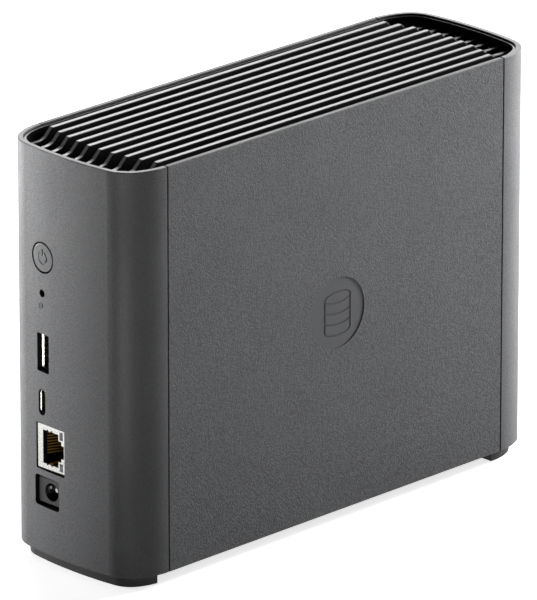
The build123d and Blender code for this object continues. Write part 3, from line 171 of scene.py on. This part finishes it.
def polished_badge(material, coordinates):
    """1 on grained walls and 0 inside the sunk badge and on faces that look up."""
    place = coordinates.outputs["Object"]
    flat = add(material, "VectorMath", {"operation": "MULTIPLY", 1: (0, 1, 1)}, {0: place}).outputs[0]
    centre = {"operation": "DISTANCE", 1: BADGE_AT}
    away = add(material, "VectorMath", centre, {0: flat}).outputs["Value"]
    edge = span(BADGE_RADIUS, BADGE_RADIUS + 0.1 * MM, 0.0, 1.0)
    disc = add(material, "MapRange", edge, {"Value": away}).outputs[0]
    walls = polished_top(material, coordinates)
    return add(material, "Math", {"operation": "MULTIPLY"}, {0: disc, 1: walls}).outputs[0]


def worked(name, dark, light, matt, gloss, grain_mm, stretch=(1, 1, 1), depth_mm=0.004):
    """Bare metal: noise stretched along the tool's marks tints, roughens and bumps the surface."""
    material, coordinates = started(name)
    place = coordinates.outputs["Object"]
    laid = add(material, "Mapping", {"Scale": stretch}, {"Vector": place}).outputs[0]
    fine = {"Scale": 1 / (grain_mm * MM), "Detail": 3.0, "Roughness": 0.6}
    marks = add(material, "TexNoise", fine, {"Vector": laid}).outputs["Fac"]
    shade = add(material, "MapRange", span(0.3, 0.7, 0.0, 1.0), {"Value": marks}).outputs[0]
    tint = add(material, "Mix", colours(dark, light), {0: shade}).outputs[2]
    rough = add(material, "MapRange", span(0.3, 0.7, matt, gloss), {"Value": marks}).outputs[0]
    relief = add(material, "Bump", {"Strength": 0.6, "Distance": depth_mm * MM}, {"Height": marks})
    links = {"Base Color": tint, "Roughness": rough, "Normal": relief.outputs[0]}
    return finished(material, {"Metallic": 1.0}, links)


# Moulded ABS, spark-eroded mould: an even, dry, pebbled grey, with a slightly coarse grain that shows.
# Its inward faces and the sills of its openings below the rim are painted black as painted shade.
shell_abs = moulded(
    "graphite_abs_fine_grain", "#525355", "#797a7c", 0.36, 0.12, 0.52, 0.42, polished_top,
    painted_shade_zones=painted_inner_shade, gleam=0.4,
)
# Moulded ABS from a coarser textured mould: short slanted pits, a touch darker in the hollows.
# Its inward faces and the sills of its openings below the rim are painted black as painted shade.
panel_abs = moulded(
    "graphite_abs_coarse_grain", "#4b4c4e", "#7e7f81", 0.45, 0.2, 0.58, 0.5, polished_badge,
    turn=(math.radians(-40), 0, 0), stretch=(1, 0.8, 1.5), painted_shade_zones=painted_inner_shade, gleam=0.3,
)
# Polished mould, same resin: the button cap is smooth with a faint flow mark.
button_abs = moulded("graphite_abs_smooth", "#5f6062", "#6a6b6d", 0.4, 0.008, 0.42, 0.36)
# Black PC and ABS blend with a satin mould finish: deep black with broad soft highlights.
grille_abs = moulded("black_satin_pc_abs", "#050506", "#0a0a0b", 0.4, 0.006, 0.34, 0.28)
# Black polycarbonate chassis: matt, with the fine dust-like grain of a sand-blasted mould.
chassis_pc = moulded("black_matt_polycarbonate", "#121313", "#1c1d1d", 0.6, 0.03, 0.7, 0.6)
# Silicone rubber feet: near black, velvety, with a fine talc bloom.
foot_rubber = moulded("black_silicone_rubber", "#121212", "#1e1e1e", 0.5, 0.015, 0.62, 0.5)
# Softer thermoplastic rubber for the disk's dampers: dull charcoal grey.
damper_rubber = moulded("charcoal_soft_rubber", "#242424", "#333333", 0.5, 0.02, 0.8, 0.7)
# Moulded nylon switch bodies: black, slightly waxy.
switch_nylon = moulded("black_nylon", "#131313", "#1b1b1c", 0.35, 0.01, 0.5, 0.42)
# Glass-filled liquid-crystal polymer of sockets: black with pale fibre flecks.
port_polymer = moulded("black_glass_filled_polymer", "#0b0b0b", "#191919", 0.25, 0.01, 0.5, 0.4)
# Epoxy moulding compound of chips: dark grey-black, blasted matt.
chip_epoxy = moulded("black_chip_epoxy", "#161617", "#242425", 0.2, 0.01, 0.62, 0.5)
# Silicone gap filler: pale grey-blue and putty-like.
thermal_putty = moulded("grey_gap_filler_silicone", "#7d8791", "#98a2ab", 0.5, 0.03, 0.7, 0.55)
# Natural nylon push pins: milky white and waxy.
pin_nylon = moulded("natural_white_nylon", "#d9d6cb", "#ebe8de", 0.6, 0.006, 0.45, 0.38)

# Nickel-plated stamped steel of socket shells: bright, with faint drawing marks along the sheet.
nickel_steel = worked("nickel_plated_steel", "#b9b9b6", "#dddcd8", 0.3, 0.2, 0.5, (1, 0.15, 1))
# Zinc-plated screws: cool grey, slightly clouded.
zinc_steel = worked("zinc_plated_steel", "#8e9194", "#bdc0c3", 0.42, 0.28, 0.8)
# Hard gold plate over nickel on contacts.
gold_plate = worked("gold_plated_contacts", "#c79a3c", "#efc66a", 0.5, 0.4, 0.3, (1, 0.2, 1), 0.002)
# Extruded aluminium, clear anodised: pale satin with lines along the extrusion.
anodised_aluminium = worked(
    "clear_anodised_aluminium", "#a4a7a9", "#c6c8ca", 0.45, 0.33, 0.35, (1, 1, 0.06)
)
# Drawn aluminium cans of capacitors.
can_aluminium = worked("drawn_aluminium", "#b4b6b8", "#d7d8d9", 0.3, 0.22, 0.4, (0.1, 1, 1))
# Die-cast aluminium: cloudy grey with a pebbled skin.
cast_aluminium = worked("die_cast_aluminium", "#7f8284", "#a2a5a7", 0.55, 0.42, 1.1, (1, 1, 1), 0.05)
# Rolled stainless sheet with long brushing.
brushed_stainless = worked("brushed_stainless_steel", "#9d9fa0", "#c3c5c6", 0.38, 0.26, 0.4, (1, 0.04, 1))
# Sputtered and polished disk: a near perfect mirror with the faintest haze.
platter_mirror = worked("polished_disk_mirror", "#c9cbcd", "#d9dbdd", 0.06, 0.03, 6.0, (1, 1, 1), 0.0005)
# Nickel-plated sintered magnets and yoke.
magnet_nickel = worked("nickel_plated_magnet", "#a8a7a2", "#c9c8c3", 0.34, 0.24, 0.7)


def solder_mask():
    """Circuit board: dark green lacquer over rows of proud copper tracks, with small tinned vias."""
    material, coordinates = started("green_solder_mask_board")
    place = coordinates.outputs["Object"]
    rows = {"Scale": 1 / (1.6 * MM), "Color1": (1, 1, 1, 1), "Color2": (1, 1, 1, 1), "Mortar": (0, 0, 0, 1),
            "Mortar Size": 0.08, "Brick Width": 3.4, "Row Height": 0.55, "offset": 0.37}
    turned = {"Rotation": (math.radians(90), 0, math.radians(90))}
    laid = add(material, "Mapping", turned, {"Vector": place}).outputs[0]
    tracks = add(material, "TexBrick", rows, {"Vector": laid}).outputs["Color"]
    cells = add(material, "TexVoronoi", {"Scale": 1 / (3.1 * MM)}, {"Vector": place}).outputs["Distance"]
    via = add(material, "MapRange", span(0.1, 0.12, 1.0, 0.0), {"Value": cells}).outputs[0]
    lacquer = add(material, "Mix", colours("#0c3320", "#15472c"), {0: tracks}).outputs[2]
    tinned = {"data_type": "RGBA", 7: linear("#b9b6a8")}
    tint = add(material, "Mix", tinned, {0: via, 6: lacquer}).outputs[2]
    relief = add(material, "Bump", {"Strength": 0.7, "Distance": 0.03 * MM}, {"Height": tracks}).outputs[0]
    rough = add(material, "MapRange", span(0.0, 1.0, 0.32, 0.22), {"Value": via}).outputs[0]
    links = {"Base Color": tint, "Metallic": via, "Normal": relief, "Roughness": rough}
    return finished(material, {}, links)


def clear_acrylic():
    """Moulded acrylic light pipe: clear, with a frosted look from fine ripples."""
    material, coordinates = started("frosted_clear_acrylic")
    place = coordinates.outputs["Object"]
    ripple = add(material, "TexNoise", {"Scale": 1 / (0.8 * MM)}, {"Vector": place}).outputs["Fac"]
    relief = add(material, "Bump", {"Strength": 0.5, "Distance": 0.01 * MM}, {"Height": ripple}).outputs[0]
    rough = add(material, "MapRange", span(0.3, 0.7, 0.18, 0.3), {"Value": ripple}).outputs[0]
    settings = {"Base Color": linear("#e6ebec"), "IOR": 1.49, "Transmission Weight": 0.75}
    return finished(material, settings, {"Normal": relief, "Roughness": rough})


board_mask = solder_mask()
light_acrylic = clear_acrylic()

FINISHES = {
    shell_abs: ["rear_shell", "front_shell"],
    panel_abs: ["left_side_panel", "right_side_panel"],
    button_abs: ["power_button"],
    grille_abs: ["top_grille"],
    chassis_pc: ["inner_frame", "base_plate"],
    foot_rubber: ["rear_foot", "front_foot"],
    damper_rubber: ["drive_dampers"],
    switch_nylon: [
        "power_switch_body", "reset_switch_body", "power_switch_plunger", "reset_switch_plunger",
    ],
    port_polymer: [
        "usb_a_tongue", "usb_c_tongue", "lan_jack_housing", "power_jack_housing", "link_connector",
        "drive_socket", "drive_connector",
    ],
    chip_epoxy: ["processor", "memory_chips", "power_inductors", "network_transformer"],
    thermal_putty: ["thermal_pad"],
    pin_nylon: ["heatsink_pins"],
    nickel_steel: ["usb_a_shell", "usb_c_shell", "lan_jack_shield", "power_jack_pin", "power_jack_spring"],
    zinc_steel: ["case_screws", "frame_screws", "board_screws", "drive_screws", "drive_cover_screws"],
    gold_plate: ["usb_a_contacts", "usb_c_contacts", "lan_jack_contacts"],
    anodised_aluminium: ["processor_heatsink"],
    can_aluminium: ["capacitors"],
    cast_aluminium: ["drive_casting", "drive_head_arm", "drive_hub"],
    brushed_stainless: ["drive_cover", "platter_clamp", "platter_spacer", "drive_pivot_post"],
    platter_mirror: ["drive_platters"],
    magnet_nickel: ["drive_magnets"],
    board_mask: ["main_board", "drive_board", "drive_link_board", "status_light_board"],
    light_acrylic: ["status_light_pipe", "status_led", "lan_jack_lights"],
}

for finish, names in FINISHES.items():
    for name in names:
        node = nodes[name]
        node.data.materials.clear()
        node.data.materials.append(finish)
bare = sorted(set(nodes) - {name for names in FINISHES.values() for name in names})
if bare:
    raise ValueError(f"nodes with no finish: {bare}")


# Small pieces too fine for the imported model. They ride on the casing.

RIM_STEPS = 48
BLOCK_TURNS = 32
BLOCK_RINGS = 15
BLOCK_ROUNDING = 0.3
SHEET_EDGE = 0.07
SHEET_BACK = 0.1
LIP_DEPTH = 0.4


def placed(name, points, faces, finish):
    """A mesh object at the origin from points in metres and lists of faces, fixed to the casing."""
    mesh = bpy.data.meshes.new(name)
    mesh.from_pydata(points.reshape(-1, 3).tolist(), [], faces)
    mesh.materials.append(finish)
    piece = bpy.data.objects.new(name, mesh)
    bpy.context.scene.collection.objects.link(piece)
    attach(piece, "casing")
    return piece


def flared_rim(name, at, half, corner, lip, finish):
    """Folded lip of a socket's shell. Round the mouth, at the angle u:

    x = sign(cos u) (a - c) + (c + d) cos u,  z = sign(sin u) (b - c) + (c + d) sin u
    where a and b are the half sizes and c the corner radius, and the sheet's edge runs round a
    closed section of offsets d and depths y, so the two turns close the surface.
    """
    u = (np.arange(RIM_STEPS) + 0.5) * (2 * np.pi / RIM_STEPS)
    low, high = lip
    section = np.array([
        (low, low - LIP_DEPTH),
        (low, low),
        (high, high),
        (high + SHEET_EDGE, high - SHEET_EDGE),
        (low + SHEET_BACK, low - SHEET_BACK),
        (low + SHEET_BACK, low - LIP_DEPTH),
    ])
    count = len(section)
    d, y = section.T
    u, d = np.meshgrid(u, d, indexing="ij")
    y = np.broadcast_to(y, u.shape)
    x = np.sign(np.cos(u)) * (half[0] - corner) + (corner + d) * np.cos(u)
    z = np.sign(np.sin(u)) * (half[1] - corner) + (corner + d) * np.sin(u)
    points = (np.stack([x, y, z], axis=-1) + np.array(at)) * MM
    i, j = np.meshgrid(np.arange(RIM_STEPS), np.arange(count), indexing="ij")
    ahead, aside = (i + 1) % RIM_STEPS, (j + 1) % count
    corners = [i * count + j, ahead * count + j, ahead * count + aside, i * count + aside]
    faces = np.stack(corners, axis=-1).reshape(-1, 4)
    return placed(name, points, faces.tolist(), finish)


def soft_block(name, at, half, finish):
    """Pressed metal with rounded edges, a superellipsoid of latitude v and longitude u:

    (a f(cos v) f(cos u), b f(cos v) f(sin u), c f(sin v)) with f(t) = sign(t) |t|^rounding.
    """
    u = np.arange(BLOCK_TURNS) * (2 * np.pi / BLOCK_TURNS)
    v = np.linspace(-np.pi / 2, np.pi / 2, BLOCK_RINGS + 2)[1:-1]
    u, v = np.meshgrid(u, v, indexing="ij")
    parts = np.stack([np.cos(v), np.cos(u), np.sin(u), np.sin(v)])
    across, wide, deep, tall = np.sign(parts) * np.abs(parts) ** BLOCK_ROUNDING
    ring = np.stack([across * wide, across * deep, tall], axis=-1).reshape(-1, 3)
    poles = [[0, 0, -1], [0, 0, 1]]
    points = (np.vstack([ring, poles]) * np.array(half) + np.array(at)) * MM
    start = np.arange(BLOCK_TURNS) * BLOCK_RINGS
    ahead = np.roll(start, -1)
    j = np.arange(BLOCK_RINGS - 1)
    i, k = start[:, None] + j, ahead[:, None] + j
    band = np.stack([i, k, k + 1, i + 1], axis=-1).reshape(-1, 4)
    south = np.full(BLOCK_TURNS, len(ring))
    low = np.stack([ahead, start, south], axis=-1)
    high = np.stack([start + BLOCK_RINGS - 1, ahead + BLOCK_RINGS - 1, south + 1], axis=-1)
    return placed(name, points, band.tolist() + low.tolist() + high.tolist(), finish)


flared_rim("usb_a_rim", (10.35, 95.18, 76.2), (2.55, 6.3), 0.3, (-0.15, 0.25), nickel_steel)
flared_rim("usb_c_rim", (11.05, 96.73, 58.5), (1.28, 4.17), 1.27, (0.05, 0.2), nickel_steel)
soft_block("lan_ground_tab", (8.3, 94.6, 36.72), (0.75, 1.6, 0.14), gold_plate)
soft_block("usb_a_upper_spring_tip", (8.25, 94.3, 79.3), (0.2, 0.6, 0.5), nickel_steel)
soft_block("usb_a_lower_spring_tip", (8.25, 94.3, 73.1), (0.2, 0.6, 0.5), nickel_steel)


# Floor, world and lights

FLOOR_HALF = 6.0
FLOOR_DROP = 0.2 * MM
FLOOR_GLOW = 0.75
# Painted shadow: the ring round the object where the floor's glow, as reflections see it, drops.
PAINTED_SHADOW_RING = (70 * MM, 300 * MM)
PAINTED_SHADOW_GLOW = (0.2, 0.9)


def plane_grid(name, half, height):
    """A square sheet: x and y run over a grid from -half to half, and z is the height."""
    steps = np.linspace(-half, half, 3)
    x, y = np.meshgrid(steps, steps, indexing="ij")
    points = np.stack([x.ravel(), y.ravel(), np.full(x.size, height)], axis=1)
    corner = (np.arange(2)[:, None] * 3 + np.arange(2)[None, :]).ravel()
    faces = np.stack([corner, corner + 3, corner + 4, corner + 1], axis=1)
    mesh = bpy.data.meshes.new(name)
    mesh.from_pydata(points.tolist(), [], faces.tolist())
    sheet = bpy.data.objects.new(name, mesh)
    bpy.context.scene.collection.objects.link(sheet)
    return sheet


def pale_floor():
    """Matt white studio sweep that glows a little; to reflected rays it glows less near the object, a
    painted shadow that reflections carry onto the object.
    """
    material, coordinates = started("white_studio_sweep")
    place = coordinates.outputs["Object"]
    mottle = add(material, "TexNoise", {"Scale": 1 / (200 * MM)}, {"Vector": place}).outputs["Fac"]
    tint = add(material, "Mix", colours("#f4f4f4", "#ffffff"), {0: mottle}).outputs[2]
    away = add(material, "VectorMath", {"operation": "LENGTH"}, {0: place}).outputs["Value"]
    painted_shadow = add(material, "MapRange", span(*PAINTED_SHADOW_RING, *PAINTED_SHADOW_GLOW), {"Value": away}).outputs[0]
    glossy = add(material, "LightPath").outputs["Is Glossy Ray"]
    glow = add(material, "Mix", {"data_type": "FLOAT", 2: FLOOR_GLOW}, {0: glossy, 3: painted_shadow}).outputs[0]
    settings = {"Emission Color": linear("#ffffff"), "Roughness": 0.9}
    return finished(material, settings, {"Base Color": tint, "Emission Strength": glow})


floor = plane_grid("studio_floor", FLOOR_HALF, cad_bounds[0].z - FLOOR_DROP)
floor.data.materials.append(pale_floor())
floor.visible_diffuse = False

world = bpy.data.worlds.new("studio_air")
bpy.context.scene.world = world
world.use_nodes = True
world.node_tree.nodes["Background"].inputs["Color"].default_value = linear("#ffffff")
world.node_tree.nodes["Background"].inputs["Strength"].default_value = 0.02


def lamp_panel(name, width, height, watts):
    """A rectangular lamp that the camera can't see."""
    lamp = bpy.data.lights.new(name, "AREA")
    lamp.shape = "RECTANGLE"
    lamp.size = width
    lamp.size_y = height
    lamp.energy = watts
    panel = bpy.data.objects.new(name, lamp)
    panel.visible_camera = False
    bpy.context.scene.collection.objects.link(panel)
    return panel


def softbox(name, azimuth, elevation, distance, width, height, watts):
    """A lamp that faces the middle of the object, placed by its angles from +X and from the floor."""
    panel = lamp_panel(name, width, height, watts)
    turn = math.radians(azimuth)
    rise = math.radians(elevation)
    level = math.cos(rise)
    direction = Vector((math.cos(turn) * level, math.sin(turn) * level, math.sin(rise)))
    panel.location = AIM + direction * distance
    panel.rotation_euler = direction.to_track_quat("Z", "Y").to_euler()


AIM = Vector((0, 0, 0.074))
softbox("left_softbox", 25, -3, 0.8, 0.25, 0.25, 10.9)
softbox("right_softbox", 254, 20, 0.75, 0.2, 0.3, 8.6)
softbox("near_softbox", 135, 14, 0.5, 0.04, 0.3, 0.07)
softbox("back_low_softbox", 324, 17, 1.3, 0.7, 0.5, 4.4)
softbox("back_high_softbox", 312, 38, 1.3, 0.7, 0.3, 9.0)
softbox("ramp_softbox", 15, 45, 0.9, 0.3, 0.3, 0.7)

# A glowing card flat on the floor, seen only as a highlight on the rounded corner.
corner_card = lamp_panel("corner_card", 0.4, 0.06, 0.65)
corner_card.location = (-0.189, 0.381, 0.001)
corner_card.rotation_euler = (math.pi, 0, math.radians(120))
corner_card.visible_diffuse = False


# Camera

AZIMUTH = math.radians(225.318)
ELEVATION = math.radians(20.144)
DISTANCE = 3.04092
LENS = 536.3
SLIDE = (-1.56 * MM, -1.32 * MM)
back = Vector((
    math.sin(AZIMUTH) * math.cos(ELEVATION),
    -math.cos(AZIMUTH) * math.cos(ELEVATION),
    math.sin(ELEVATION),
))
right = Vector((math.cos(AZIMUTH), math.sin(AZIMUTH), 0))
up = back.cross(right)
camera_data = bpy.data.cameras.new("camera")
camera_data.lens = LENS
camera_data.sensor_width = 36
camera_data.clip_start = 0.1
camera_data.clip_end = 100
camera = bpy.data.objects.new("camera", camera_data)
stand = AIM + back * DISTANCE + right * SLIDE[0] + up * SLIDE[1]
camera.matrix_world = Matrix.Translation(stand) @ Matrix((right, up, back)).transposed().to_4x4()
bpy.context.scene.collection.objects.link(camera)
bpy.context.scene.camera = camera
bpy.context.scene.view_settings.view_transform = "Standard"
